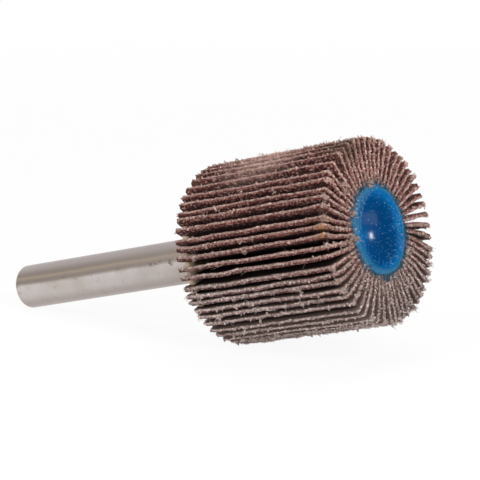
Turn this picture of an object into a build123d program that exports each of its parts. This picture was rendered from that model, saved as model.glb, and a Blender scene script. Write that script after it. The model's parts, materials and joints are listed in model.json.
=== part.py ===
from build123d import *
import math
import os

# A flap wheel on a shank: abrasive cloth flaps stand round a cast resin hub.
# The wheel lies as it comes to rest, on the tips at its back rim and on the shank's end.
# +X runs along the shank towards the front of the wheel and +Z is up, from the surface at z = 0.

# Wheel
wheel_diameter = 25.4
wheel_width = 24.8

# Flaps
flap_count = 58
flap_thickness = 0.56
flap_corner = 0.3
flap_lean = 0.6
# Where the first flap's root stands, as a share of the pitch past the lowest place
flap_start = 0.17
root_clearance = 0.025

# How unevenly the flaps stand: (share of the gap at the tips, waves round the wheel, start in degrees)
sway_waves = ((0.37, 3, 73), (0.255, 6, 173), (0.165, 11, 143), (0.13, 21, 140))
# How unevenly the tips are worn: (share of the flap thickness, waves round the wheel)
wear_waves = ((0.05, 5), (0.09, 13))

# Shank
shank_diameter = 6.35
shank_reach = 38.7
shank_end_round = 0.6
grip_neck_depth = 0.25
grip_flat_depth = 0.35
shank_cover = 2.0

# Resin hub
dome_diameter = 12.3
dome_height = 1.7
dome_edge_height = 0.7
dome_edge_inset = 1.1
collar_diameter = 12.0
collar_height = 0.7
collar_edge_inset = 0.35
fillet_foot = 0.9
fillet_climb = 0.5

# Sizes that follow
wheel_radius = wheel_diameter / 2
shank_radius = shank_diameter / 2
pitch = 2 * math.pi / flap_count
core_radius = (flap_thickness + root_clearance) / pitch
dome_radius = dome_diameter / 2
collar_radius = collar_diameter / 2
overall_depth = wheel_width + shank_reach
resin_depth = wheel_width + collar_height + fillet_climb

# How the wheel lies: the surface touches the rounded back corners and the rounded shank end
drop = (wheel_radius - flap_corner) - (shank_radius - shank_end_round)
run = shank_reach - shank_end_round + flap_corner
tilt = math.atan2(drop, run) + math.asin((flap_corner - shank_end_round) / math.hypot(drop, run))
forward = Vector(math.cos(tilt), 0, math.sin(tilt))
upward = Vector(-math.sin(tilt), 0, math.cos(tilt))
face_height = (
    flap_corner
    + (wheel_width - flap_corner) * math.sin(tilt)
    + (wheel_radius - flap_corner) * math.cos(tilt)
)
rear_x = (
    -(overall_depth - shank_end_round) * math.cos(tilt)
    - (shank_radius - shank_end_round) * math.sin(tilt)
    - shank_end_round
)
front_x = (
    -flap_corner * math.cos(tilt)
    + (wheel_radius - flap_corner) * math.sin(tilt)
    + flap_corner
)
face_centre = Vector(-(rear_x + front_x) / 2, 0, face_height)

# The flaps' front edges lie in face_plane; section_plane holds the axis as its own Y
face_plane = Plane(origin=face_centre, x_dir=(0, 1, 0), z_dir=forward)
section_plane = Plane(origin=face_centre, x_dir=upward, z_dir=(0, 1, 0))
wheel_axis = Axis(face_centre, forward)

os.makedirs("parts", exist_ok=True)


def save(piece, name):
    piece.part.label = name
    export_step(piece.part, f"parts/{name}.step")


# Shank: a ground steel rod, necked and flatted where the resin grips it
with BuildPart() as shank:
    with BuildSketch(face_plane.offset(-resin_depth)):
        Circle(shank_radius)
    extrude(amount=-(overall_depth - resin_depth))
    with BuildSketch(face_plane.offset(-shank_cover)):
        Circle(shank_radius - grip_neck_depth)
        flat_span = 2 * (shank_radius - grip_flat_depth - grip_neck_depth)
        Rectangle(flat_span, shank_diameter, mode=Mode.INTERSECT)
    extrude(amount=-(resin_depth - shank_cover))
    fillet(shank.edges().sort_by(wheel_axis)[0], shank_end_round)
save(shank, "shank")


# Resin hub: one casting with a dome in front, a core round the shank and a collar behind
with BuildPart() as resin_hub:
    with BuildSketch(section_plane):
        with BuildLine():
            edge = (dome_radius - dome_edge_inset, dome_edge_height)
            back = -wheel_width - collar_height
            climb_radius = shank_radius + fillet_foot
            cap = TangentArc((0, dome_height), edge, tangent=(1, 0))
            TangentArc(edge, (dome_radius, 0), tangent=cap % 1)
            Polyline(
                (dome_radius, 0),
                (core_radius, 0),
                (core_radius, -wheel_width),
                (collar_radius, -wheel_width),
            )
            TangentArc(
                (collar_radius, -wheel_width),
                (collar_radius - collar_edge_inset, back),
                tangent=(0, -1),
            )
            Line((collar_radius - collar_edge_inset, back), (climb_radius, back))
            TangentArc((climb_radius, back), (shank_radius, -resin_depth), tangent=(-1, 0))
            Polyline((shank_radius, -resin_depth), (0, -resin_depth), (0, dome_height))
        make_face()
    revolve(axis=wheel_axis)
    add(shank.part, mode=Mode.SUBTRACT)
save(resin_hub, "resin_hub")


def flap_shape(index):
    """The radius of one flap's tip, and its end view from the front as points a little past the tip."""
    turn = (index + flap_start) * pitch
    tip_gap = wheel_radius * pitch - flap_thickness
    sway = -tip_gap * sum(
        share * math.sin(waves * turn + math.radians(start)) for share, waves, start in sway_waves
    )
    wear = flap_thickness * sum(share * (1 - math.cos(waves * turn)) for share, waves in wear_waves)
    tip_radius = wheel_radius - wear

    def point(radius, side):
        share = (radius - core_radius) / (tip_radius - core_radius)
        across = side * flap_thickness / 2 - (flap_lean + sway) * share**2
        angle = -math.pi / 2 + turn + across / radius
        return (radius * math.cos(angle), radius * math.sin(angle))

    outer_radius = tip_radius + flap_corner
    middle_radius = (core_radius + outer_radius) / 2
    radii = (core_radius, middle_radius, outer_radius)
    grit_side = [point(radius, 1) for radius in radii]
    cloth_side = [point(radius, -1) for radius in radii]
    return tip_radius, grit_side, cloth_side, point(core_radius, 0)


# Flaps: cloth strips that lean clockwise, numbered counter-clockwise from the lowest
for index in range(flap_count):
    tip_radius, grit_side, cloth_side, root_middle = flap_shape(index)
    with BuildPart() as flap:
        with BuildSketch(face_plane.offset(flap_corner)):
            with BuildLine():
                ThreePointArc(*grit_side)
                Line(grit_side[-1], cloth_side[-1])
                ThreePointArc(*cloth_side)
                ThreePointArc(cloth_side[0], root_middle, grit_side[0])
            make_face()
        extrude(amount=-(wheel_width + 2 * flap_corner))
        with BuildSketch(section_plane) as worn_outline:
            with Locations((tip_radius / 2, -wheel_width / 2)):
                Rectangle(tip_radius, wheel_width)
            fillet(worn_outline.vertices().group_by(Axis.X)[-1], flap_corner)
        revolve(axis=wheel_axis, mode=Mode.INTERSECT)
    save(flap, f"flap_{index + 1:02d}")

print(f"tilt {math.degrees(tilt):.3f} degrees, core radius {core_radius:.4f}")
print(f"face centre {face_centre}")
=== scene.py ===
import json
import math

import bpy
import numpy as np
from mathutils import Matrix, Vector


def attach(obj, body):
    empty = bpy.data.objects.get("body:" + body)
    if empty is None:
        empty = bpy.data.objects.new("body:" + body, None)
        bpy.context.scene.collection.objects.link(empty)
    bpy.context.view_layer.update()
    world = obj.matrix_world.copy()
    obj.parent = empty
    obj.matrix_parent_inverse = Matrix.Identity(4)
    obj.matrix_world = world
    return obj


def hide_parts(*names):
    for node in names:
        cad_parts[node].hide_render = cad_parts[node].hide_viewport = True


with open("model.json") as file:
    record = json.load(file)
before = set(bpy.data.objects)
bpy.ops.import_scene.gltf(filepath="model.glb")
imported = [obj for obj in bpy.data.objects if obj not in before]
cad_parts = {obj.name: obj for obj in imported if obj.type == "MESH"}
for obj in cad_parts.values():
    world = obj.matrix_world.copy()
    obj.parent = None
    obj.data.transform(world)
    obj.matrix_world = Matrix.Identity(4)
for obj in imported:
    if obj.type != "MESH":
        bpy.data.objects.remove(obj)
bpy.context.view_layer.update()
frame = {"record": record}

# The frame: where the wheel lies and how its axis leans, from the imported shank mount

MM = 0.001

shank_mount = frame["record"]["mounts"][0]
shank_radius = shank_mount["dims"]["r_mm"]
forward = -Vector(shank_mount["axis"])
across = Vector((0, 1, 0))
upward = forward.cross(across)

# Driving sizes in millimetres, as the solids have them
wheel_radius = 12.7
wheel_width = 24.8
flap_count = 58
flap_thickness = 0.56
flap_corner = 0.3
flap_lean = 0.6
flap_start = 0.17
root_clearance = 0.025
sway_waves = ((0.37, 3, 73), (0.255, 6, 173), (0.165, 11, 143), (0.13, 21, 140))
wear_waves = ((0.05, 5), (0.09, 13))
shank_reach = 38.7
shank_end_round = 0.6
shank_neck_radius = 2.925
shank_cover = 2.0
dome_radius = 6.15
dome_height = 1.7
dome_edge_height = 0.7
dome_edge_inset = 1.1
collar_radius = 6.0
collar_height = 0.7
collar_edge_inset = 0.35
fillet_foot = 0.9
fillet_climb = 0.5

# Sizes that follow
pitch = 2 * math.pi / flap_count
core_radius = (flap_thickness + root_clearance) / pitch
flap_length = wheel_radius - core_radius
resin_depth = wheel_width + collar_height + fillet_climb
dome_edge = dome_radius - dome_edge_inset
dome_sagitta = dome_height - dome_edge_height
dome_cap_radius = (dome_edge**2 + dome_sagitta**2) / (2 * dome_sagitta)
face_centre = Vector(shank_mount["pos_m"]) + forward * (wheel_width + shank_reach - shank_end_round) * MM

# Cloth, grain and yarn, in millimetres
yarn_spacing = 0.45
grain_width = 0.24
grit_layer = 0.28
grit_height = 0.022
tip_rounding = 0.06
tip_roughness = 0.05
end_roughness = 0.07
end_unevenness = 0.06
long_wave = 0.09
short_wave = 0.035
end_curl = 0.16
end_ripple = 0.07

# Fray: a bead of broken yarn ends along each cut edge, in millimetres
fray_step = 0.1
fray_sides = 6
bead_half_width = 0.1
bead_height = 0.075
bead_sunk = 0.03
yarn_tooth = 0.12
tuft_height = 0.16

# Glue between the flaps at the back: how far before their back ends it starts and stops, and below their tips
glue_front = 0.95
glue_back = 0.18
glue_below_tips = 1.3

# Fluff by the resin and on the front edges, as (radius in millimetres, degrees)
front_clumps = (
    (5.4, 181),
    (6.0, 182),
    (6.8, 180),
    (7.6, 184),
    (6.0, 92),
    (6.5, 88),
    (8.6, 136),
    (9.3, 131),
    (6.2, 152),
)


def place(radius, angle, depth):
    """Places in metres from millimetres and radians round the wheel's axis; depth is forward of its face."""
    radius, angle, depth = np.broadcast_arrays(radius, angle, depth)
    spots = np.multiply.outer(radius * np.cos(angle), np.array(across))
    spots = spots + np.multiply.outer(radius * np.sin(angle), np.array(upward))
    spots = spots + np.multiply.outer(depth, np.array(forward))
    return spots * MM + np.array(face_centre)


def unit(vectors):
    return vectors / np.linalg.norm(vectors, axis=-1, keepdims=True)


def ripple(seed, along, spacing):
    """Smooth unevenness between -1 and 1 at the given places, with bumps about that far apart."""
    along = np.asarray(along, float) / spacing
    first = math.floor(along.min()) - 1
    draw = np.random.RandomState(seed)
    heights = draw.uniform(-1, 1, int(along.max() - first) + 4)
    cell = np.floor(along).astype(int)
    part = along - cell
    part = part * part * (3 - 2 * part)
    cell = cell - first
    return heights[cell] * (1 - part) + heights[cell + 1] * part


# Meshes


def make_piece(name, points, faces, finishes, face_finish=None, spots=None, smooth=True):
    """A mesh object; spots are each point's own place on the surface, in millimetres."""
    mesh = bpy.data.meshes.new(name)
    mesh.from_pydata([tuple(p) for p in points], [], [tuple(int(i) for i in f) for f in faces])
    for finish in finishes:
        mesh.materials.append(finish)
    if face_finish is not None:
        mesh.polygons.foreach_set("material_index", np.asarray(face_finish, dtype=np.int32))
    if spots is not None:
        layer = mesh.attributes.new("surface_mm", "FLOAT_VECTOR", "POINT")
        layer.data.foreach_set("vector", np.asarray(spots, dtype=np.float32).ravel())
    mesh.polygons.foreach_set("use_smooth", np.full(len(mesh.polygons), smooth))
    mesh.update()
    piece = bpy.data.objects.new(name, mesh)
    bpy.context.scene.collection.objects.link(piece)
    return piece


def ring_quads(rings, turns):
    """Faces between neighbouring rings of points, which have the same number of points each."""
    row, turn = np.meshgrid(np.arange(rings - 1), np.arange(turns), indexing="ij")
    here = row * turns + turn
    after = row * turns + (turn + 1) % turns
    return np.stack([here, after, after + turns, here + turns], axis=-1).reshape(-1, 4)


def revolved(name, profile, turns, finish, radius_of=None):
    """A closed solid round the wheel's axis, turned from (radius, depth) points that start and end on it."""
    angles = np.arange(turns) * 2 * math.pi / turns
    radii, depths = np.array(profile[1:-1]).T
    ring_radii = np.repeat(radii[:, None], turns, axis=1)
    if radius_of is not None:
        ring_radii = radius_of(ring_radii, angles[None, :], depths[:, None])
    rings = place(ring_radii, angles[None, :], depths[:, None]).reshape(-1, 3)
    end_depths = np.array([profile[0][1], profile[-1][1]])
    points = np.vstack([rings, place(np.zeros(2), np.zeros(2), end_depths)])
    faces = ring_quads(len(radii), turns).tolist()
    last = len(rings) - turns
    for turn in range(turns):
        after = (turn + 1) % turns
        faces.append((len(rings), after, turn))
        faces.append((len(rings) + 1, last + turn, last + after))
    around = (ring_radii * angles[None, :]).reshape(-1)
    spots = np.column_stack([np.repeat(depths, turns), around, ring_radii.reshape(-1)])
    spots = np.vstack([spots, np.column_stack([end_depths, np.zeros((2, 2))])])
    return make_piece(name, points, faces, (finish,), spots=spots)


def arc(start, end, slope, steps):
    """Points of the circular arc that leaves start along slope and reaches end, without start."""
    start, end, slope = np.array(start, float), np.array(end, float), unit(np.array(slope, float))
    chord = end - start
    normal = np.array([-slope[1], slope[0]])
    bend = 2 * (chord @ normal) / (chord @ chord)
    centre = start + normal / bend
    arm = start - centre
    sweep = 2 * math.atan2(chord @ normal, chord @ slope)
    points = []
    for k in range(1, steps + 1):
        c, s = math.cos(sweep * k / steps), math.sin(sweep * k / steps)
        points.append(tuple(centre + np.array([c * arm[0] - s * arm[1], s * arm[0] + c * arm[1]])))
    return points


def stretch(start, end, steps):
    """Evenly spaced points on a straight run, without start."""
    start, end = np.array(start, float), np.array(end, float)
    return [tuple(start + (end - start) * k / steps) for k in range(1, steps + 1)]


# Materials

# Settings that many nodes share, and how far apart a wave texture's bands are at scale 1
COLOURS = {"data_type": "RGBA"}
SMOOTH = {"interpolation_type": "SMOOTHSTEP"}
wave_repeat = 0.314


def linear(code):
    """An sRGB hex value as the linear colour with alpha that a shader takes."""
    parts = [int(code[k : k + 2], 16) / 255 for k in (1, 3, 5)]
    return tuple(v / 12.92 if v <= 0.04045 else ((v + 0.055) / 1.055) ** 2.4 for v in parts) + (1.0,)


def add(tree, kind, *values, stops=(), **named):
    """Adds one node. Values go to the inputs that it shows, in order, and capitalised names are inputs too.

    The other names are its settings, and stops are a colour ramp's (place, hex) pairs. A value may also be
    a node, for its first shown output, or a (node, output) pair.
    """
    made = tree.nodes.new("ShaderNode" + kind)
    for name, value in named.items():
        if name[0].islower():
            setattr(made, name, value)
    for _ in stops[2:]:
        made.color_ramp.elements.new(0.5)
    for k, (spot, code) in enumerate(stops):
        made.color_ramp.elements[k].position = spot
        made.color_ramp.elements[k].color = linear(code)
    filled = list(zip([socket for socket in made.inputs if socket.enabled], values))
    for name, value in named.items():
        if name[0].isupper():
            filled.append((made.inputs[name.replace("_", " ")], value))
    for socket, value in filled:
        if isinstance(value, bpy.types.Node):
            tree.links.new(next(output for output in value.outputs if output.enabled), socket)
        elif isinstance(value, tuple) and isinstance(value[0], bpy.types.Node):
            tree.links.new(value[0].outputs[value[1]], socket)
        else:
            socket.default_value = value
    return made


def new_material(name):
    material = bpy.data.materials.new(name)
    material.use_nodes = True
    tree = material.node_tree
    tree.nodes.clear()
    return material, tree


def near_spot(tree, centre, reach):
    """1 at a place on the object, falling to 0 at reach millimetres from it."""
    where = (add(tree, "TexCoord"), "Object")
    gap = add(tree, "VectorMath", where, tuple(centre), operation="DISTANCE")
    return add(tree, "MapRange", gap, 0.0, reach * MM, 1.0, 0.0, **SMOOTH)


def wheel_place(tree, centre=face_centre):
    """A point's distance from the wheel's axis, or a line beside it, and how far behind the face it is."""
    where = (add(tree, "TexCoord"), "Object")
    offset = add(tree, "VectorMath", where, tuple(centre), operation="SUBTRACT")
    aside = add(tree, "VectorMath", offset, tuple(forward), operation="CROSS_PRODUCT")
    radius = add(tree, "VectorMath", aside, operation="LENGTH")
    depth = add(tree, "VectorMath", offset, tuple(-forward), operation="DOT_PRODUCT")
    return radius, depth


def stained(tree, colour):
    """Marks of use: tan glue on a few front corners, a dark oily patch and pale dust along the top."""
    where = (add(tree, "TexCoord"), "Object")
    cloud = add(tree, "TexNoise", where, Scale=1 / (0.9 * MM), Detail=3.0)
    ragged = add(tree, "MapRange", cloud, 0.42, 0.6, 0.0, 1.0)
    patchy = add(tree, "Math", ragged, 0.55, 0.45, operation="MULTIPLY_ADD")
    marks = (
        (place(wheel_radius - 0.1, math.radians(170), -0.5), 2.7, ragged, 0.8, "#a17650"),
        (place(wheel_radius - 0.4, math.radians(106), -1.0), 4.5, None, 0.6, "#37301f"),
        (place(wheel_radius, math.radians(102), -14.0), 9.0, patchy, 0.75, "#bfa196"),
    )
    for centre, reach, texture, strength, code in marks:
        share = near_spot(tree, centre, reach)
        if texture is not None:
            share = add(tree, "Math", share, texture, operation="MULTIPLY")
        share = add(tree, "Math", share, strength, operation="MULTIPLY")
        colour = add(tree, "Mix", share, colour, linear(code), **COLOURS)
    return colour


def painted_gap_shade(tree, colour, code, darkest, fall, end_run):
    """Painted shade in the gaps between the flaps: darkens a flap's side below its tip, over fall
    millimetres, and away from its open ends, over end_run.
    """
    half = wheel_width / 2
    radius, depth = wheel_place(tree)
    tip = wheel_radius - 0.1
    below_tip = add(tree, "MapRange", radius, (wheel_radius - fall) * MM, tip * MM, darkest, 0.0, **SMOOTH)
    off_middle = add(tree, "Math", depth, half * MM, operation="SUBTRACT")
    off_middle = add(tree, "Math", off_middle, operation="ABSOLUTE")
    low, high = (half - end_run) * MM, (half - 0.2) * MM
    from_ends = add(tree, "MapRange", off_middle, low, high, 1.0, 0.15, **SMOOTH)
    share = add(tree, "Math", below_tip, from_ends, operation="MULTIPLY")
    return add(tree, "Mix", share, colour, linear(code), **COLOURS)


def wetted(tree, colour):
    """Resin that crept up between the flaps tints their front edges dark teal round the dome."""
    radius, depth = wheel_place(tree)
    where = (add(tree, "TexCoord"), "Object")
    creep = add(tree, "TexNoise", where, Scale=1 / (1.0 * MM), Detail=4.0)
    ragged = add(tree, "Math", creep, -3.0 * MM, radius, operation="MULTIPLY_ADD")
    low, high = (dome_radius - 1.3) * MM, (dome_radius - 0.6) * MM
    near_dome = add(tree, "MapRange", ragged, low, high, 1.0, 0.0, **SMOOTH)
    at_front = add(tree, "MapRange", depth, 0.5 * MM, 1.4 * MM, 1.0, 0.0, **SMOOTH)
    share = add(tree, "Math", near_dome, at_front, operation="MULTIPLY")
    share = add(tree, "Math", share, 0.88, operation="MULTIPLY")
    return add(tree, "Mix", share, colour, linear("#1f4656"), **COLOURS)


def greyer_below_with_painted_light(tree, colour):
    """Makes the lower flaps' edges greyer, as less red dust clings there, and paler as painted light from
    below.

    The front edges of the upper flaps are a little paler too, as painted light from above.
    """
    height = (add(tree, "SeparateXYZ", (add(tree, "TexCoord"), "Object")), "Z")
    strength = add(tree, "MapRange", height, 7 * MM, 19 * MM, 0.62, 1.0, **SMOOTH)
    # painted light: the lower flaps paler, and the upper flaps' front edges paler at the face
    painted_light_below = add(tree, "MapRange", height, 5 * MM, 12 * MM, 0.4, 0.0, **SMOOTH)
    painted_light_on_top = add(tree, "MapRange", height, 20 * MM, 27 * MM, 0.03, 0.2, **SMOOTH)
    _, depth = wheel_place(tree)
    behind_face = add(tree, "MapRange", depth, 0.8 * MM, 2.5 * MM, 0.0, 1.0, **SMOOTH)
    paler = add(tree, "Mix", behind_face, painted_light_on_top, painted_light_below)
    value = add(tree, "Math", paler, 1.0, operation="ADD")
    return add(tree, "HueSaturation", Saturation=strength, Value=value, Color=colour)


def crystals(tree, where, stops):
    """Grains that each have a tone of their own, and how far a point is from its grain's middle."""
    grains = add(tree, "TexVoronoi", where, Scale=1 / (grain_width * MM))
    tone = add(tree, "SeparateColor", (grains, "Color"))
    return add(tree, "ValToRGB", tone, stops=stops), grains


def bonded_grain():
    """Brown aluminium oxide grain in cured resin: dull, rough, with pale and dark crystals.

    The crystals are drawn about twice as coarse as real ones, so that they show.
    """
    material, tree = new_material("aluminium_oxide_grain_bonded")
    where = (add(tree, "TexCoord"), "Object")
    tones = ((0.0, "#1b0808"), (0.28, "#361514"), (0.6, "#502522"), (0.82, "#76463f"), (1.0, "#c49f92"))
    colour, hollow = crystals(tree, where, tones)
    patches = add(tree, "TexNoise", where, Scale=1 / (2.6 * MM), Detail=3.0)
    fading = add(tree, "MapRange", patches, 0.5, 0.72, 0.0, 0.45, **SMOOTH)
    colour = add(tree, "Mix", fading, colour, linear("#8a5f56"), **COLOURS)
    # painted shade between the flaps, deepest below the tips and away from the ends
    colour = painted_gap_shade(tree, colour, "#1b0b0b", 0.86, 1.4, 3.0)
    colour = wetted(tree, stained(tree, colour))
    bumps = add(tree, "Bump", Height=hollow, Distance=0.16 * MM, Strength=1.0, invert=True)
    shader = add(tree, "BsdfPrincipled", colour, Roughness=0.78, Normal=bumps, Specular_IOR_Level=0.3)
    add(tree, "OutputMaterial", shader)
    return material


def sized_cloth():
    """Cotton drill cloth stiffened with resin size: greyish tan, dull, its yarns showing as fine ribs."""
    material, tree = new_material("cotton_backing_resin_sized")
    where = (add(tree, "TexCoord"), "Object")
    spot = (add(tree, "Attribute", attribute_name="surface_mm"), "Vector")
    ribs = {"Scale": wave_repeat / yarn_spacing, "Distortion": 1.2, "Detail": 2.0}
    warp = add(tree, "TexWave", spot, bands_direction="X", **ribs)
    weft = add(tree, "TexWave", spot, bands_direction="Y", **ribs)
    weave = add(tree, "Math", (warp, "Fac"), (weft, "Fac"), operation="MULTIPLY")
    fuzz = add(tree, "TexNoise", where, Scale=1 / (0.2 * MM), Detail=4.0)
    colour = add(tree, "Mix", fuzz, linear("#4f3f39"), linear("#8f7d73"), **COLOURS)
    colour = add(tree, "Mix", 0.16, colour, weave, blend_type="OVERLAY", **COLOURS)
    # painted shade between the flaps, deepest below the tips and away from the ends
    colour = painted_gap_shade(tree, colour, "#150e0c", 0.93, 1.1, 1.3)
    colour = wetted(tree, stained(tree, colour))
    height = add(tree, "Math", weave, fuzz, operation="ADD")
    bumps = add(tree, "Bump", Height=height, Distance=0.06 * MM, Strength=0.5)
    shader = add(tree, "BsdfPrincipled", colour, Roughness=0.88, Normal=bumps, Specular_IOR_Level=0.1)
    add(tree, "OutputMaterial", shader)
    return material


def frayed_edge():
    """The cut edge of the cloth: pale broken yarn ends, with the brown grain layer along one side."""
    material, tree = new_material("cut_cloth_edge_frayed")
    where = (add(tree, "TexCoord"), "Object")
    fibres = add(tree, "TexNoise", where, Scale=1 / (0.3 * MM), Detail=4.0, Roughness=0.7)
    tones = ((0.32, "#4c2a26"), (0.44, "#7f5b53"), (0.55, "#a9887d"), (0.68, "#cdb7ac"))
    yarn = add(tree, "ValToRGB", fibres, stops=tones)
    grit, _ = crystals(tree, where, ((0.0, "#2e1413"), (0.55, "#57302d"), (1.0, "#946860")))
    spot = (add(tree, "Attribute", attribute_name="surface_mm"), "Vector")
    side = (add(tree, "SeparateXYZ", spot), "Z")
    wander = add(tree, "Math", fibres, 0.3, -0.15, operation="MULTIPLY_ADD")
    side = add(tree, "Math", side, wander, operation="ADD")
    border = flap_thickness / 2 - grit_layer
    layer = add(tree, "MapRange", side, border - 0.06, border + 0.06, 0.0, 1.0, **SMOOTH)
    colour = add(tree, "Mix", layer, yarn, grit, **COLOURS)
    # lower flaps greyer, and paler with painted light, as are the upper flaps' front edges
    colour = wetted(tree, stained(tree, greyer_below_with_painted_light(tree, colour)))
    bumps = add(tree, "Bump", Height=fibres, Distance=0.15 * MM, Strength=1.0)
    shader = add(tree, "BsdfPrincipled", colour, Roughness=0.9, Normal=bumps, Specular_IOR_Level=0.1)
    add(tree, "OutputMaterial", shader)
    return material


def loose_cotton(name, tones, wet):
    """Broken cotton fibres and yarn: pale, matt, brown where grain dust clings, teal where resin wets it."""
    material, tree = new_material(name)
    where = (add(tree, "TexCoord"), "Object")
    dust = add(tree, "TexNoise", where, Scale=1 / (0.3 * MM), Detail=5.0, Roughness=0.75)
    colour = add(tree, "ValToRGB", dust, stops=tones)
    # lower flaps greyer, and paler with painted light, as are the upper flaps' front edges
    colour = stained(tree, greyer_below_with_painted_light(tree, colour))
    if wet:
        colour = wetted(tree, colour)
    shader = add(tree, "BsdfPrincipled", colour, Roughness=0.92, Specular_IOR_Level=0.1)
    add(tree, "OutputMaterial", shader)
    return material


def set_dust():
    """Fine cloth dust wetted by resin: pale, a little blue where the resin covers it, half matt."""
    material, tree = new_material("cotton_dust_set_in_resin")
    where = (add(tree, "TexCoord"), "Object")
    depth = add(tree, "TexNoise", where, Scale=1 / (0.25 * MM), Detail=2.0)
    tone = add(tree, "ValToRGB", depth, stops=((0.38, "#2469a0"), (0.5, "#5591bb"), (0.62, "#a9c8d8")))
    shader = add(tree, "BsdfPrincipled", tone, Roughness=0.6)
    add(tree, "OutputMaterial", shader)
    return material


def cast_epoxy():
    """Dyed epoxy, cast and cured in air: glossy and deep blue, with a painted reflection in its colour:
    darker in the middle, for the dark side of the room, and brighter at the rim, for the pale room.

    The painted dark reflection gathers round two lines beside the axis, one a little above it and one a
    little below.
    """
    material, tree = new_material("epoxy_cast_blue")
    where = (add(tree, "TexCoord"), "Object")
    # painted reflection of the dark side of the room: darkest round two lines beside the axis
    above, _ = wheel_place(tree, face_centre - (across * 1.7 - upward * 1.7) * MM)
    below, _ = wheel_place(tree, face_centre - (across * 1.5 + upward * 1.6) * MM)
    reach = add(tree, "Math", above, below, operation="MINIMUM")
    clouds = add(tree, "TexNoise", where, Scale=1 / (1.6 * MM), Detail=3.0)
    drift = add(tree, "Math", clouds, 1.2 * MM, -0.6 * MM, operation="MULTIPLY_ADD")
    reach = add(tree, "Math", reach, drift, operation="ADD")
    share = add(tree, "Math", reach, dome_radius * MM, operation="DIVIDE")
    tones = ((0.0, "#02315a"), (0.42, "#023766"), (0.68, "#04568c"), (0.95, "#086094"))
    blue = add(tree, "ValToRGB", share, stops=tones)
    radius, _ = wheel_place(tree)
    # painted reflection of the pale room: a paler ring at the rim
    low, high = (dome_radius - 1.25) * MM, (dome_radius - 0.05) * MM
    painted_pale_rim = add(tree, "MapRange", radius, low, high, 0.0, 0.85, **SMOOTH)
    blue = add(tree, "Mix", painted_pale_rim, blue, linear("#2b6786"), **COLOURS)
    waves = add(tree, "TexNoise", where, Scale=1 / (2.2 * MM), Detail=1.0)
    bumps = add(tree, "Bump", Height=waves, Distance=0.02 * MM, Strength=0.3)
    shader = add(tree, "BsdfPrincipled", blue, Roughness=0.14, IOR=1.5, Specular_IOR_Level=0.12, Normal=bumps)
    add(tree, "OutputMaterial", shader)
    return material


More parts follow.
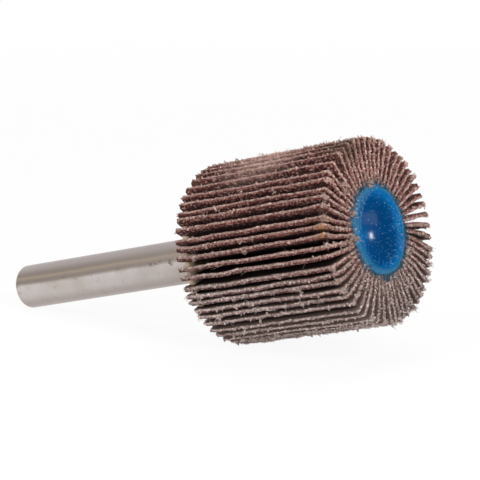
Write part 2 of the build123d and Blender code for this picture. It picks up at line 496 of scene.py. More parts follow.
def ground_steel():
    """Silver steel rod, centreless ground: bright, hair-fine marks round it, rust pits, a stain along it,
    with painted reflection and shade: darker over its top, a little darker underneath and darker near the
    wheel.
    """
    material, tree = new_material("silver_steel_ground")
    where = (add(tree, "TexCoord"), "Object")
    spot = (add(tree, "Attribute", attribute_name="surface_mm"), "Vector")
    mark_width, mark_length = 0.12, 2.5
    drawn = add(tree, "Mapping", spot, Scale=(1 / mark_width, 1 / mark_length, 1.0))
    marks = add(tree, "TexNoise", drawn, Scale=1.0, Detail=5.0)
    tarnish = add(tree, "TexNoise", where, Scale=1 / (6.0 * MM), Detail=4.0)
    clean = add(tree, "ValToRGB", tarnish, stops=((0.3, "#b3a9a2"), (0.5, "#c0b8b4"), (0.7, "#cbc6c4")))

    # how far round the rod a point is, in millimetres, with some wander and drift
    on_rod = add(tree, "SeparateXYZ", spot)
    along = (on_rod, "X")
    around = add(tree, "Math", tarnish, 0.4, (on_rod, "Y"), operation="MULTIPLY_ADD")
    around = add(tree, "Math", along, -0.006, around, operation="MULTIPLY_ADD")
    # painted reflection: the top of the rod darker, where the darker room above would show; painted shade: a
    # little darker underneath
    upper = add(tree, "MapRange", around, 7.6, 9.0, 0.85, 0.0, **SMOOTH)
    tone = add(tree, "Mix", upper, clean, linear("#a09592"), **COLOURS)
    underside = add(tree, "MapRange", around, 11.6, 13.4, 0.0, 0.85, **SMOOTH)
    tone = add(tree, "Mix", underside, tone, linear("#a49893"), **COLOURS)
    streak = (7.3, 8.5, 9.7, 10.3, 0.95, "#867c74")
    ridge = (8.7, 8.95, 9.1, 9.45, 0.8, "#9f917f")
    for begins, full, fades, ends, strength, code in (streak, ridge):
        rise = add(tree, "MapRange", around, begins, full, 0.0, 1.0, **SMOOTH)
        fall = add(tree, "MapRange", around, fades, ends, 1.0, 0.0, **SMOOTH)
        share = add(tree, "Math", rise, fall, operation="MULTIPLY")
        share = add(tree, "Math", share, strength, operation="MULTIPLY")
        tone = add(tree, "Mix", share, tone, linear(code), **COLOURS)
    smudges = add(tree, "TexNoise", where, Scale=1 / (0.7 * MM), Detail=3.0)
    smudged = add(tree, "MapRange", smudges, 0.58, 0.76, 0.0, 0.35, **SMOOTH)
    tone = add(tree, "Mix", smudged, tone, linear("#857a74"), **COLOURS)
    # painted shade: the rod darker near the wheel
    painted_shade_near_wheel = add(tree, "MapRange", along, -58.0, -wheel_width - 8.0, 0.0, 0.25, **SMOOTH)
    tone = add(tree, "Mix", painted_shade_near_wheel, tone, linear("#958983"), **COLOURS)
    low, high = shank_radius - 0.6, shank_radius - 0.25
    on_side = add(tree, "MapRange", (on_rod, "Z"), low, high, 0.0, 1.0, **SMOOTH)
    tone = add(tree, "Mix", on_side, clean, tone, **COLOURS)

    # rust pits gather by the wheel, under the streak
    pits = add(tree, "TexNoise", where, Scale=1 / (0.9 * MM), Detail=4.0)
    share = add(tree, "MapRange", pits, 0.56, 0.68, 0.0, 0.8, **SMOOTH)
    by_wheel = (along, -wheel_width - 15.0, -wheel_width - 10.0, 0.3, 1.0)
    under_streak = (around, 9.4, 9.7, 0.0, 1.0)
    above_bottom = (around, 10.2, 10.6, 1.0, 0.0)
    for limits in (by_wheel, under_streak, above_bottom):
        inside = add(tree, "MapRange", *limits, **SMOOTH)
        share = add(tree, "Math", share, inside, operation="MULTIPLY")
    colour = add(tree, "Mix", share, tone, linear("#5d544f"), **COLOURS)
    rough = add(tree, "MapRange", marks, 0.3, 0.7, 0.3, 0.38)
    bumps = add(tree, "Bump", Height=marks, Distance=0.01 * MM, Strength=0.1)
    shader = add(tree, "BsdfPrincipled", colour, Metallic=1.0, Roughness=rough, Normal=bumps)
    add(tree, "OutputMaterial", shader)
    return material


def tan_glue():
    """Hide glue, brushed on and dried: tan, half glossy, a little streaky."""
    material, tree = new_material("glue_tan_dried")
    where = (add(tree, "TexCoord"), "Object")
    streaks = add(tree, "TexNoise", where, Scale=1 / (1.2 * MM), Detail=3.0)
    tone = add(tree, "ValToRGB", streaks, stops=((0.35, "#ad8d78"), (0.6, "#d6b89f"), (0.75, "#e8d2bf")))
    bumps = add(tree, "Bump", Height=streaks, Distance=0.1 * MM, Strength=0.6)
    shader = add(tree, "BsdfPrincipled", tone, Roughness=0.45, Normal=bumps)
    add(tree, "OutputMaterial", shader)
    return material


def background_ray(tree):
    """1 where a ray shows the background itself: to the camera, off gloss or through glass."""
    path = add(tree, "LightPath")
    seen = add(tree, "Math", (path, "Is Camera Ray"), (path, "Is Glossy Ray"), operation="MAXIMUM")
    return add(tree, "Math", seen, (path, "Is Transmission Ray"), operation="MAXIMUM")


def studio_floor():
    """Matt white paper with a glow: white where it or its reflection is seen, a little less near the wheel,
    where it keeps a faint shadow, and faint for every other ray, so that it lights the wheel from below.
    """
    material, tree = new_material("paper_white_matt")
    where = (add(tree, "TexCoord"), "Object")
    distance = add(tree, "VectorMath", where, operation="LENGTH")
    glowing = add(tree, "MapRange", distance, 0.06, 0.5, 0.93, 1.0, **SMOOTH)
    share = add(tree, "Math", background_ray(tree), glowing, operation="MULTIPLY")
    # a faint glow for all rays, so that the floor lights the wheel from below
    share = add(tree, "Math", share, 0.08, operation="MAXIMUM")
    paper = add(tree, "BsdfDiffuse", linear("#f4f3f2"))
    glow = add(tree, "Emission", linear("#ffffff"), Strength=1.0)
    mixed = add(tree, "MixShader", share, paper, glow)
    add(tree, "OutputMaterial", mixed)
    return material


# Flaps


def stations(length, end_step, end_run, middle_step):
    """Places along a length in millimetres, close together near both ends."""
    ends = np.arange(0, end_run, end_step)
    middle = np.linspace(end_run, length - end_run, int(round((length - 2 * end_run) / middle_step)) + 1)
    return np.concatenate([ends, middle, length - ends[::-1]])


def flap_grid():
    """The lattice that every flap shares: surface points, faces, and which face is grain, cloth or cut."""
    grain_side, cloth_side, cut_side = 0, 1, 2
    curve = 1 - np.cos(np.linspace(0, math.pi / 2, 8))
    outer = flap_length - flap_corner * curve[::-1]
    inner = np.linspace(0, flap_length - flap_corner, 11)
    shares = np.concatenate([inner[:-1], outer]) / flap_length
    layers = np.array([-1.0, -0.55, 0.0, 0.5, 1.0])
    depths = stations(wheel_width, 0.22, 1.98, 0.5) / wheel_width
    counts = (len(shares), len(layers), len(depths))
    number = -np.ones(counts, dtype=int)
    edge = np.zeros(counts, dtype=bool)
    for axis in range(3):
        ends = [slice(None)] * 3
        for end in (0, -1):
            ends[axis] = end
            edge[tuple(ends)] = True
    number[edge] = np.arange(edge.sum())
    share, layer, depth = np.meshgrid(shares, layers, depths, indexing="ij")
    faces, kinds = [], []
    sides = (
        (number[:, 0, :], False, cloth_side),
        (number[:, -1, :], True, grain_side),
        (number[0, :, :], True, cut_side),
        (number[-1, :, :], False, cut_side),
        (number[:, :, 0], True, cut_side),
        (number[:, :, -1], False, cut_side),
    )
    for sheet, turned, kind in sides:
        quads = np.stack([sheet[:-1, :-1], sheet[1:, :-1], sheet[1:, 1:], sheet[:-1, 1:]], axis=-1)
        quads = quads.reshape(-1, 4)
        faces.append(quads[:, ::-1] if turned else quads)
        kinds.append(np.full(len(quads), kind))
    return share[edge], layer[edge], depth[edge], np.vstack(faces), np.concatenate(kinds)


def flap_facts(index):
    """How one flap stands: its angle, its lean with sway and its worn tip radius, as in the solids."""
    turn = (index + flap_start) * pitch
    tip_gap = wheel_radius * pitch - flap_thickness
    sway = -tip_gap * sum(
        share * math.sin(waves * turn + math.radians(start)) for share, waves, start in sway_waves
    )
    wear = flap_thickness * sum(share * (1 - math.cos(waves * turn)) for share, waves in wear_waves)
    return turn - math.pi / 2, flap_lean + sway, wheel_radius - wear


def flap_spoke(index):
    """The way outward from the wheel's axis along one flap."""
    return unit(place(1, flap_facts(index)[0], 0) - place(0, 0, 0))


def on_flap(index, share, layer, depth_share):
    """Places on or in a flap: share from root to tip, layer from cloth -1 to grain 1, depth from the face.

    The first number of each ripple is its seed, so that every flap waves and frays in its own way.
    """
    angle, lean, tip_radius = flap_facts(index)
    share, layer, depth_share = np.broadcast_arrays(share, layer, depth_share)
    along = depth_share * wheel_width
    from_end = np.minimum(along, wheel_width - along)
    front = np.where(along < wheel_width / 2, 1, 0)
    radius = core_radius + share * (tip_radius - core_radius)
    # cut edges: the tip wears round across its thickness and frays a little along its length
    worn = tip_rounding * layer**2 + tip_roughness * ripple(1000 + index, along, 0.7)
    radius = radius - share**8 * worn
    # the rounded outer corners
    climb = np.clip(radius - (tip_radius - flap_corner), 0, flap_corner * 0.999)
    inset = flap_corner - np.sqrt(flap_corner**2 - climb**2)
    depth = -inset - (wheel_width - 2 * inset) * depth_share
    # the cut ends: rough up the flap, and not all equally far out
    up_flap = share * round(flap_length, 1)
    rough_end = end_roughness * ripple(2000 + 2 * index + 7, up_flap, 0.5)
    rough_end = rough_end + end_unevenness * ripple(3000, index, 1)
    depth = depth + np.where(front == 1, 1, -1) * rough_end * np.exp(-from_end / 0.4)
    # the cloth's own waviness, along the wheel and, near its ends, up the flap
    wave = long_wave * ripple(4000 + index, along, 4.5) + short_wave * ripple(5000 + index, along, 1.1)
    curl = end_curl * ripple(6000, index * 1.0 + front * 500, 1)
    bend = share**2 * wave + share**3 * curl * np.exp(-from_end / 1.3)
    rise = end_ripple * ripple(7000 + 2 * index, up_flap + front * 40, 1.3)
    bend = bend + share * rise * np.exp(-from_end / 1.6)
    # grain stands up from its side by parts of a grain
    grit = np.where(layer >= 1, grit_height * ripple(8000 + index, along * 37.7 + share * 911.0, 1), 0)
    fuller = 1 + 0.1 * share**4
    offset = layer * fuller * flap_thickness / 2 + grit - lean * share**2 + bend
    return place(radius, angle + offset / radius, depth)


def make_flaps(grain, cloth, cut):
    share, layer, depth, faces, kinds = flap_grid()
    spots = np.column_stack([depth * wheel_width, share * flap_length, layer * flap_thickness / 2])
    for index in range(flap_count):
        points = on_flap(index, share, layer, depth)
        name = f"cloth_flap_{index + 1:02d}"
        piece = make_piece(name, points, faces, (grain, cloth, cut), kinds, spots)
        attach(piece, "root")
        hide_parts(f"flap_{index + 1:02d}")


# The rest of the wheel


def neck_profile(start):
    """Where resin and shank meet inside: from the resin's back end to the neck, along it and to the axis."""
    profile = stretch(start, (shank_neck_radius, -resin_depth), 1)
    profile += stretch((shank_neck_radius, -resin_depth), (shank_neck_radius, -shank_cover), 3)
    return profile + [(0, -shank_cover)]


def make_hub(epoxy):
    edge = (dome_edge, dome_edge_height)
    back = -wheel_width - collar_height
    profile = [(0, dome_height)]
    profile += arc((0, dome_height), edge, (1, 0), 22)
    profile += arc(edge, (dome_radius, 0), (dome_cap_radius - dome_sagitta, -dome_edge), 9)
    profile += stretch((dome_radius, 0), (core_radius, 0), 2)
    profile += stretch((core_radius, 0), (core_radius, -wheel_width), 4)
    profile += stretch((core_radius, -wheel_width), (collar_radius, -wheel_width), 2)
    profile += arc((collar_radius, -wheel_width), (collar_radius - collar_edge_inset, back), (0, -1), 6)
    profile += stretch((collar_radius - collar_edge_inset, back), (shank_radius + fillet_foot, back), 5)
    profile += arc((shank_radius + fillet_foot, back), (shank_radius, -resin_depth), (-1, 0), 6)
    profile += neck_profile((shank_radius, -resin_depth))

    def uneven_rim(radius, angle, depth):
        """The rim creeps a little further out along some flaps than others."""
        creep = 0.13 * ripple(11, angle * 9.0, 1) + 0.06 * ripple(12, angle * 29.0, 1)
        creep = creep + 0.08 * np.cos(flap_count * (angle + math.pi / 2) - flap_start * 2 * math.pi)
        return radius + creep * np.clip((radius - dome_edge) / dome_edge_inset, 0, 1)

    hub = revolved("cast_hub", profile, 348, epoxy, uneven_rim)
    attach(hub, "root")
    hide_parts("resin_hub")


def make_back_glue(glue):
    """A thin fill of glue between the flaps at their back ends, up to a little under the tips."""
    front, back = glue_front - wheel_width, glue_back - wheel_width
    outer = wheel_radius - glue_below_tips
    crown = (outer + 0.12, (front + back) / 2)

    def uneven_rim(radius, angle, depth):
        """It sinks between the flaps and stands higher beside them."""
        sunk = 0.16 * ripple(51, angle * 19.0, 1) + 0.1 * ripple(52, angle * 47.0, 1)
        return radius + sunk * np.clip((radius - 8) / (outer - 8), 0, 1)

    profile = [(0, front)]
    profile += stretch((0, front), (outer, front), 6)
    profile += stretch((outer, front), crown, 2)
    profile += stretch(crown, (outer, back), 2)
    profile += stretch((outer, back), (collar_radius - 0.6, back), 8)
    profile += [(0, back)]
    fill = revolved("back_glue", profile, 232, glue, uneven_rim)
    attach(fill, "root")


def make_shank(steel):
    end = -(wheel_width + shank_reach)
    flat = shank_radius - shank_end_round
    profile = [(0, end)]
    profile += stretch((0, end), (flat, end), 5)
    profile += arc((flat, end), (shank_radius, end + shank_end_round), (1, 0), 8)
    profile += stretch((shank_radius, end + shank_end_round), (shank_radius, -resin_depth), 40)
    profile += neck_profile((shank_radius, -resin_depth))
    rod = revolved("ground_shank", profile[::-1], 128, steel)
    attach(rod, "root")
    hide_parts("shank")


# Fray, fluff and dust


def above_floor(points):
    return points[:, 2].min() > 0


def out_in_the_open(spoke):
    """Whether a flap points up or to the +y side, where handling has rubbed the fluff short."""
    return spoke[2] > 0.5 or spoke[1] > 0.5


def random_turn(draw):
    return np.linalg.qr(draw.normal(0, 1, (3, 3)))[0]


def knob():
    """A half bead with a flat base: unit points and faces, six sides and three rings."""
    points, faces = [(0, 0, 1)], []
    for ring in range(1, 4):
        lift = math.cos(ring * math.pi / 6)
        reach = math.sin(ring * math.pi / 6)
        for side in range(6):
            angle = side * math.pi / 3 + ring * math.pi / 6
            points.append((reach * math.cos(angle), reach * math.sin(angle), lift))
    for side in range(6):
        after = (side + 1) % 6
        faces.append((0, 1 + side, 1 + after))
        for low in (1, 7):
            faces.append((low + side, low + 6 + side, low + after))
            faces.append((low + 6 + side, low + 6 + after, low + after))
    base = len(points)
    points.append((0, 0, -0.6))
    for side in range(6):
        faces.append((base, 13 + (side + 1) % 6, 13 + side))
    return np.array(points), np.array(faces)


def scatter(shapes, name, finish):
    """Joins (centre, three half-axes in metres) knobs that clear the floor into one piece."""
    points, faces = knob()
    placed = [centre + points @ axes for centre, axes in shapes]
    placed = [spots for spots in placed if above_floor(spots)]
    all_faces = [faces + number * len(points) for number in range(len(placed))]
    piece = make_piece(name, np.vstack(placed), np.vstack(all_faces), (finish,))
    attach(piece, "root")


def strand(points, thickness):
    """A thin closed tube of four sides along points, thinner at its tip."""
    count = len(points)
    heading = unit(np.gradient(points, axis=0))
    aside = unit(np.cross(heading, np.array([0.3, 0.5, 0.81])))
    over = np.cross(heading, aside)
    width = thickness / 2 * (1 - 0.6 * np.linspace(0, 1, count))[:, None]
    corners = [points + aside * width, points + over * width, points - aside * width, points - over * width]
    rings = np.stack(corners, axis=1).reshape(-1, 3)
    last = (count - 1) * 4
    ends = [(3, 2, 1, 0), (last, last + 1, last + 2, last + 3)]
    return rings, np.vstack([ring_quads(count, 4), ends])


def join_strands(lines, name, finish):
    """Joins (points, thickness) lines that clear the floor into one piece of thin strands."""
    all_points, all_faces, start = [], [], 0
    for points, thickness in lines:
        rings, faces = strand(np.asarray(points), thickness)
        if above_floor(rings):
            all_points.append(rings)
            all_faces.append(faces + start)
            start += len(rings)
    piece = make_piece(name, np.vstack(all_points), np.vstack(all_faces), (finish,))
    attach(piece, "root")


def edge_walk(step):
    """Places along a flap's cut edges: up its front end, along its tip and down its back end.

    Each has a share from root to tip, a share of the width, an angle that turns from facing an end to facing
    outward, and which way the end faces.
    """
    rise = np.arange(0.25, flap_length - flap_corner - step / 2, step) / flap_length
    turn = np.linspace(0, math.pi / 2, 5)
    bend = 1 - flap_corner * (1 - np.sin(turn)) / flap_length
    straight = wheel_width - 2 * flap_corner
    run = np.arange(step, straight - step / 2, step) / straight
    shares = np.concatenate([rise, bend, np.full(len(run), 1.0), bend[::-1], rise[::-1]])
    widths = np.concatenate([rise * 0, bend * 0, run, bend * 0 + 1, rise * 0 + 1])
    turns = np.concatenate([rise * 0, turn, run * 0 + math.pi / 2, turn[::-1], rise * 0])
    faces = np.where(widths < 0.5, 1.0, -1.0)
    return shares, widths, turns, faces


def frayed_bead(index, draw, walk):
    """Rings of points round one flap's cut edges, swollen and leaning where its yarns end."""
    shares, widths, turns, faces = walk
    count = len(shares)
    travel = np.arange(count) * fray_step
    middle = on_flap(index, shares, -0.6, widths)
    side = unit(on_flap(index, shares, 1.0, widths) - on_flap(index, shares, -1.0, widths))
    spoke = middle - np.array(face_centre)
    spoke = unit(spoke - np.outer(spoke @ np.array(forward), np.array(forward)))
    ahead = np.array(forward) * faces[:, None]
    out = spoke * np.sin(turns)[:, None] + ahead * np.cos(turns)[:, None]
    # each yarn's end is a bump, and the yarns are a little out of step
    drift = 3 * ripple(24000 + index, travel, 2.0) + 1.3 * ripple(26000 + index, travel, 0.6)
    yarns = np.sin(2 * math.pi * travel / yarn_spacing + drift)
    yarns = yarns * (0.7 + 0.5 * ripple(25000 + index, travel, 1.3))
    swell = 0.25 * ripple(21000 + index, travel, 0.28) + 0.25 * ripple(22000 + index, travel, 1.6)
    swell = 1 + 0.32 * yarns + swell
    tuft = np.clip(draw.normal(0, 1, count) - 1.0, 0, 1.6)
    rough = np.clip(1 + 0.42 * draw.normal(0, 1, (count, fray_sides)), 0.25, 2.3)
    # it is fuller on the lower flaps' tips
    fuller = 1 + 0.5 * np.clip(-1.4 * spoke[:, 2], 0, 1) * np.sin(turns)
    half_width = (bead_half_width + 0.035 * np.cos(turns)) * fuller * swell
    height = bead_height + 0.03 * np.cos(turns) + yarn_tooth * np.clip(yarns, 0, 2)
    height = height * swell + tuft_height * tuft
    sway = 0.09 * yarns + 0.06 * ripple(23000 + index, travel, 0.6) + 0.15 * tuft
    angles = np.arange(fray_sides) * 2 * math.pi / fray_sides + 0.3
    across_by = half_width[:, None] * rough * np.cos(angles) + sway[:, None]
    out_by = height[:, None] * rough * np.sin(angles) - bead_sunk
    rings = middle[:, None, :] + side[:, None, :] * across_by[:, :, None] * MM
    rings = rings + out[:, None, :] * out_by[:, :, None] * MM
    rings[..., 2] = np.maximum(rings[..., 2], 0)
    return rings.reshape(-1, 3)


def make_fray(cotton):
    """A rough bead of broken yarn along every cut edge, in two pieces of every other flap."""
    draw = np.random.RandomState(58)
    walk = edge_walk(fray_step)
    count = len(walk[0])
    bead_points = count * fray_sides
    beads = [frayed_bead(index, draw, walk) for index in range(flap_count)]
    quads = ring_quads(count, fray_sides)
    for name, half in (("frayed_edges_left", beads[1::2]), ("frayed_edges_right", beads[0::2])):
        sheets = []
        for start in range(0, len(half) * bead_points, bead_points):
            end = start + bead_points
            sheets.extend((quads + start).tolist())
            sheets.append(list(range(start, start + fray_sides))[::-1])
            sheets.append(list(range(end - fray_sides, end)))
        piece = make_piece(name, np.vstack(half), sheets, (cotton,), smooth=False)
        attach(piece, "root")


def frayed_place(draw, number):
    """Where a bit of fluff sits: on a few front corners, along the tips, or on the front and back edges."""
    if number % 20 < 6:
        index = (5 * draw.randint(12) + 3 * draw.randint(2) + 1) % flap_count
        return index, draw.uniform(0.93, 1.0), draw.uniform(-0.8, 0.8), 0.0
    index = draw.randint(flap_count)
    if number % 20 < 14:
        return index, 0.995, draw.uniform(-0.9, 0.6), draw.uniform(0.0, 1.0)
    if number % 20 < 15:
        return index, draw.uniform(0.9, 1.0), draw.uniform(-0.9, 0.9), 1.0
    return index, draw.uniform(0.1, 0.95), draw.uniform(-0.8, 0.4), 0.0


def clump_places():
    """Where larger clumps of fluff sit, and their way out: on ridges, on front corners and by the resin."""
    draw = np.random.RandomState(404)
    places = []
    for number in range(76):
        index = draw.randint(flap_count)
        at = 0.0 if number % 4 == 0 else draw.uniform(0.02, 0.98)
        places.append((on_flap(index, 0.98, draw.uniform(-0.6, 0.9), at), flap_spoke(index)))
    for radius, turn in front_clumps:
        places.append((place(radius, math.radians(turn), 0.05), np.array(forward)))
    return places


def make_frayed_lumps(lint):
    """Tangled fluff on some edges: small groups of knobs round one place."""
    draw = np.random.RandomState(131)
    shapes = []
    for number in range(170):
        middle = on_flap(*frayed_place(draw, number)) + draw.normal(0, 0.05, 3) * MM
        bulk = draw.uniform(0.5, 1.3)
        for _ in range(draw.randint(4, 9)):
            turn = random_turn(draw)
            size = draw.uniform(0.07, 0.18) * bulk
            stretchy = np.array([[1.0], [draw.uniform(0.5, 1.0)], [draw.uniform(0.6, 1.4)]])
            shapes.append((middle + draw.normal(0, 0.13 * bulk, 3) * MM, turn * stretchy * size * MM))
    for root, out in clump_places():
        bulk = draw.uniform(0.7, 1.3)
        for _ in range(draw.randint(9, 18)):
            turn = random_turn(draw)
            stretchy = [[draw.uniform(0.8, 1.8)], [draw.uniform(0.4, 1.0)], [draw.uniform(0.4, 1.0)]]
            stretchy = np.array(stretchy)
            spot = root + (draw.normal(0, 0.17 * bulk, 3) + out * draw.uniform(-0.1, 0.12)) * MM
            shapes.append((spot, turn * stretchy * draw.uniform(0.05, 0.13) * bulk * MM))
    scatter(shapes, "frayed_lumps", lint)


def make_tufts(lint):
    """Yarn ends that have burst open, and a few clumps by the resin: small brushes of short fibres."""
    draw = np.random.RandomState(313)
    ahead = np.array(forward)
    brushes = []
    for number in range(430):
        index, share, layer, at = frayed_place(draw, number)
        spoke = flap_spoke(index)
        end = 1.0 if at == 0.0 else -1.0 if at == 1.0 else 0.0
        out = ahead if end and share < 0.9 else unit(spoke + ahead * 0.8 * end)
        length = draw.uniform(0.15, 0.45) + (0.4 if number % 7 == 0 else 0.0)
        if out_in_the_open(spoke):
            length *= 0.6
        brushes.append((on_flap(index, share, layer, at), out, np.cross(ahead, spoke), length, 0.07))
    for root, out in clump_places():
        for _ in range(3):
            lean = unit(draw.normal(0, 1, 3))
            length = draw.uniform(0.3, 0.8) * (0.5 if out_in_the_open(out) else 1.0)
            brushes.append((root, out, lean, length, 0.17))
    lines = []
    for root, out, lean, length, spread in brushes:
        for _ in range(draw.randint(6, 13)):
            heading = unit(out + lean * draw.uniform(-0.2, 0.9) + draw.normal(0, 0.5, 3))
            points = [root + draw.normal(0, spread, 3) * MM - out * 0.05 * MM]
            for _ in range(3):
                heading = unit(heading + draw.normal(0, 0.25, 3))
                points.append(points[-1] + heading * length * draw.uniform(0.6, 1.2) / 3 * MM)
            lines.append((points, draw.uniform(0.05, 0.11) * MM))
    join_strands(lines, "burst_yarn_ends", lint)


def make_fibres(lint):
    """Single cotton fibres that have pulled out of the cut edges and curl away from them.

    The longest are at the middle of the wheel's sides and below it, as in the photograph.
    """
    draw = np.random.RandomState(23)
    lines = []
    for number in range(760):
        index = draw.randint(flap_count)
        on_tip = number % 3 != 0
        if on_tip:
            share, at = 0.99, draw.uniform(0.01, 0.99)
        else:
            share, at = draw.uniform(0.1, 0.98), draw.choice([0.0, 0.0, 0.0, 1.0])
        root = on_flap(index, share, draw.uniform(-0.8, 0.3), at)
        spoke = flap_spoke(index)
        out = spoke if on_tip else np.array(forward) * (1 if at == 0 else -1)
        heading = unit(out * 0.7 + draw.normal(0, 0.75, 3))
        curl = draw.normal(0, 0.5, 3)
        length = draw.uniform(0.25, 0.9) * (0.55 if out_in_the_open(spoke) else 1.0)
        if number % 4 == 1 and -0.7 < spoke[2] < 0.3:
            length += draw.uniform(0.6, 2.2)
        points = [root]
        for _ in range(6):
            heading = unit(heading + curl * 0.35 + draw.normal(0, 0.12, 3))
            points.append(points[-1] + heading * length / 6 * MM)
        lines.append((points, 0.035 * MM))
    join_strands(lines, "loose_fibres", lint)


def make_crumbs(cotton):
    """Dust and fibre crumbs caught where the resin meets the flaps' front edges."""
    draw = np.random.RandomState(77)
    shapes = []
    for _ in range(520):
        angle = draw.uniform(0, 2 * math.pi)
        radius = dome_radius + abs(draw.normal(0, 0.45)) - 0.1
        centre = place(radius, angle, draw.uniform(-0.05, 0.12))
        turn = random_turn(draw)
        size = np.array([[draw.uniform(0.5, 1.6)], [draw.uniform(0.4, 1.0)], [draw.uniform(0.4, 1.0)]])
        shapes.append((centre, turn * size * draw.uniform(0.05, 0.13) * MM))
    scatter(shapes, "rim_crumbs", cotton)


def on_dome(radius, angle):
    """A place on the resin's skin: the cap in the middle, or the steeper rim outside it."""
    if radius < dome_edge:
        rise = dome_height - dome_cap_radius + math.sqrt(dome_cap_radius**2 - radius**2)
    else:
        rise = dome_edge_height * math.sqrt(max(0.0, 1 - ((radius - dome_edge) / dome_edge_inset) ** 2))
    return place(radius, angle, rise)


def make_specks(dust):
    """Pale dust that set in the resin's skin: thicker on one side of the cap, and in drifts on the rim."""
    draw = np.random.RandomState(19)
    on_cap, in_all = 760, 1290
    shapes = []
    while len(shapes) < on_cap:
        radius = dome_edge * math.sqrt(draw.uniform(0, 1))
        angle = draw.uniform(0, 2 * math.pi)
        thick = 0.12 + 0.88 * (0.5 + 0.5 * math.cos(angle + 0.5)) ** 2 * (radius / dome_edge) ** 0.7
        if draw.uniform(0, 1) > thick:
            continue
        turn = random_turn(draw)
        size = draw.uniform(0.017, 0.042) * (1.6 if draw.uniform(0, 1) < 0.08 else 1.0)
        shapes.append((on_dome(radius, angle), turn * size * MM))
    while len(shapes) < in_all:
        radius = draw.uniform(dome_edge - 0.1, dome_radius - 0.02)
        angle = draw.normal(math.radians(150), math.radians(34))
        turn = random_turn(draw)
        shapes.append((on_dome(radius, angle), turn * draw.uniform(0.014, 0.045) * MM))
    scatter(shapes, "resin_specks", dust)


# Camera, light and floor


def way_to(bearing, rise):
    """The direction at a bearing from +x and a rise over the level, in radians."""
    return Vector((math.cos(bearing) * math.cos(rise), math.sin(bearing) * math.cos(rise), math.sin(rise)))


def set_camera():
    """The photograph's place and lens, measured from the middle of the wheel's front face."""
    distance, bearing, rise = 0.31325, math.radians(32.26 - 90), math.radians(10.455)
    heading, dip = math.radians(35.70), math.radians(-10.714)
    lens = bpy.data.cameras.new("photo_lens")
    lens.sensor_width = 36
    lens.lens = 175.96
    lens.clip_start, lens.clip_end = 0.01, 20
    camera = bpy.data.objects.new("photo_camera", lens)
    camera.location = face_centre + way_to(bearing, rise) * distance
    camera.rotation_euler = (math.pi / 2 + dip, 0, heading)
    bpy.context.scene.collection.objects.link(camera)
    bpy.context.scene.camera = camera


def soft_lamp(name, position, width, height, power, shape="RECTANGLE"):
    """A white soft box that faces the wheel."""
    lamp = bpy.data.lights.new(name, "AREA")
    lamp.shape = shape
    lamp.size, lamp.size_y = width, height
    lamp.energy = power
    holder = bpy.data.objects.new(name, lamp)
    holder.location = position
    aim = face_centre - Vector(position)
    holder.rotation_euler = aim.to_track_quat("-Z", "Y").to_euler()
    bpy.context.scene.collection.objects.link(holder)


def set_lamps():
    soft_lamp("window_left", (-0.12, -0.42, 0.42), 0.26, 0.20, 0.85)
    soft_lamp("window_front", (0.50, -0.22, 0.30), 0.16, 0.24, 2.8)
    soft_lamp("ceiling", (0.0, 0.10, 0.55), 0.34, 0.34, 1.2)
    soft_lamp("low_left", (-0.05, -0.50, 0.03), 0.26, 0.05, 0.55)
    soft_lamp("lamp_right", (0.44, 0.175, 0.078), 0.028, 0.043, 0.32, "ELLIPSE")


def card(name, corners, faces, finish):
    """A card beside the wheel that only its reflections show, so that it never hides the wheel."""
    piece = make_piece(name, corners, faces, (finish,), smooth=False)
    piece.visible_camera = False
    piece.visible_diffuse = False
    piece.visible_shadow = False


def card_finish(name, code, strength):
    """A card's even glow, from near black to brighter than white."""
    material, tree = new_material(name)
    glow = add(tree, "Emission", linear(code), Strength=strength)
    add(tree, "OutputMaterial", glow)
    return material


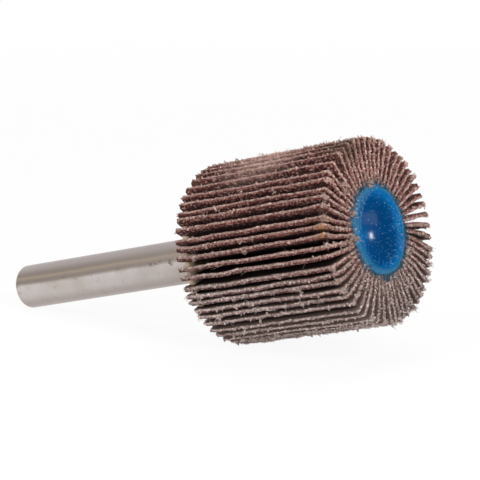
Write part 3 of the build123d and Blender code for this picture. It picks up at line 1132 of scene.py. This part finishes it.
def set_cards():
    """A black card round the right side, standing and lying, and a small white one before it, for gloss."""
    black = card_finish("card_black_matt", "#0b0d10", 1.0)
    white = card_finish("card_white_lit", "#f4f2ff", 3.0)
    distance, near_distance, height, lift = 0.62, 0.024, 0.55, 0.0004
    bearings = np.radians(np.linspace(-4, 112, 24))
    middle = Vector((face_centre.x, 0, 0))
    foot = [middle + way_to(bearing, 0) * distance for bearing in bearings]
    head = [point + Vector((0, 0, height)) for point in foot]
    near = [middle + way_to(bearing, 0) * near_distance + Vector((0, 0, lift)) for bearing in bearings]
    low = [point + Vector((0, 0, lift)) for point in foot]
    count = len(bearings)
    faces = [(k, k + 1, count + k + 1, count + k) for k in range(count - 1)]
    card("card_standing", foot + head, faces, black)
    card("card_lying", near + low, faces, black)
    aims = ((22.5, 30.1), (43.1, 23.0), (39.3, 13.7), (14.6, 20.6))
    corners = [face_centre + way_to(math.radians(b), math.radians(r)) * 0.45 for b, r in aims]
    card("card_white", corners, [(0, 1, 2, 3)], white)


def set_room():
    """A pale room: white where it or its reflection is seen, and softer than white as light on the wheel."""
    world = bpy.data.worlds.new("pale_room")
    world.use_nodes = True
    tree = world.node_tree
    tree.nodes.clear()
    height = (add(tree, "SeparateXYZ", (add(tree, "TexCoord"), "Generated")), "Z")
    tones = ((0.0, "#ffffff"), (0.12, "#e8e8e8"), (0.35, "#b4b4b6"), (1.0, "#c4c4c6"))
    sky = add(tree, "ValToRGB", height, stops=tones)
    seen = background_ray(tree)
    colour = add(tree, "Mix", seen, sky, linear("#ffffff"), **COLOURS)
    strength = add(tree, "Math", seen, 0.52, 0.48, operation="MULTIPLY_ADD")
    glow = add(tree, "Background", colour, strength)
    add(tree, "OutputWorld", glow)
    bpy.context.scene.world = world


def set_floor():
    side = 3.0
    corners = [(-side, -side, 0), (side, -side, 0), (side, side, 0), (-side, side, 0)]
    floor = make_piece("floor", corners, [(0, 1, 2, 3)], (studio_floor(),), smooth=False)


set_camera()
set_room()
set_lamps()
set_cards()
set_floor()

yarn_tones = ((0.35, "#4a2c28"), (0.44, "#785a52"), (0.53, "#a1887f"), (0.65, "#d6c5bb"))
lint_tones = ((0.35, "#7c6156"), (0.5, "#ab9085"), (0.65, "#d2beb2"))
cotton = loose_cotton("cotton_yarn_frayed", yarn_tones, True)
lint = loose_cotton("cotton_lint", lint_tones, False)

make_flaps(bonded_grain(), sized_cloth(), frayed_edge())
make_hub(cast_epoxy())
make_shank(ground_steel())
make_back_glue(tan_glue())
make_fray(cotton)
make_frayed_lumps(lint)
make_tufts(lint)
make_crumbs(cotton)
make_specks(set_dust())
make_fibres(lint)

bpy.context.scene.view_settings.view_transform = "Standard"
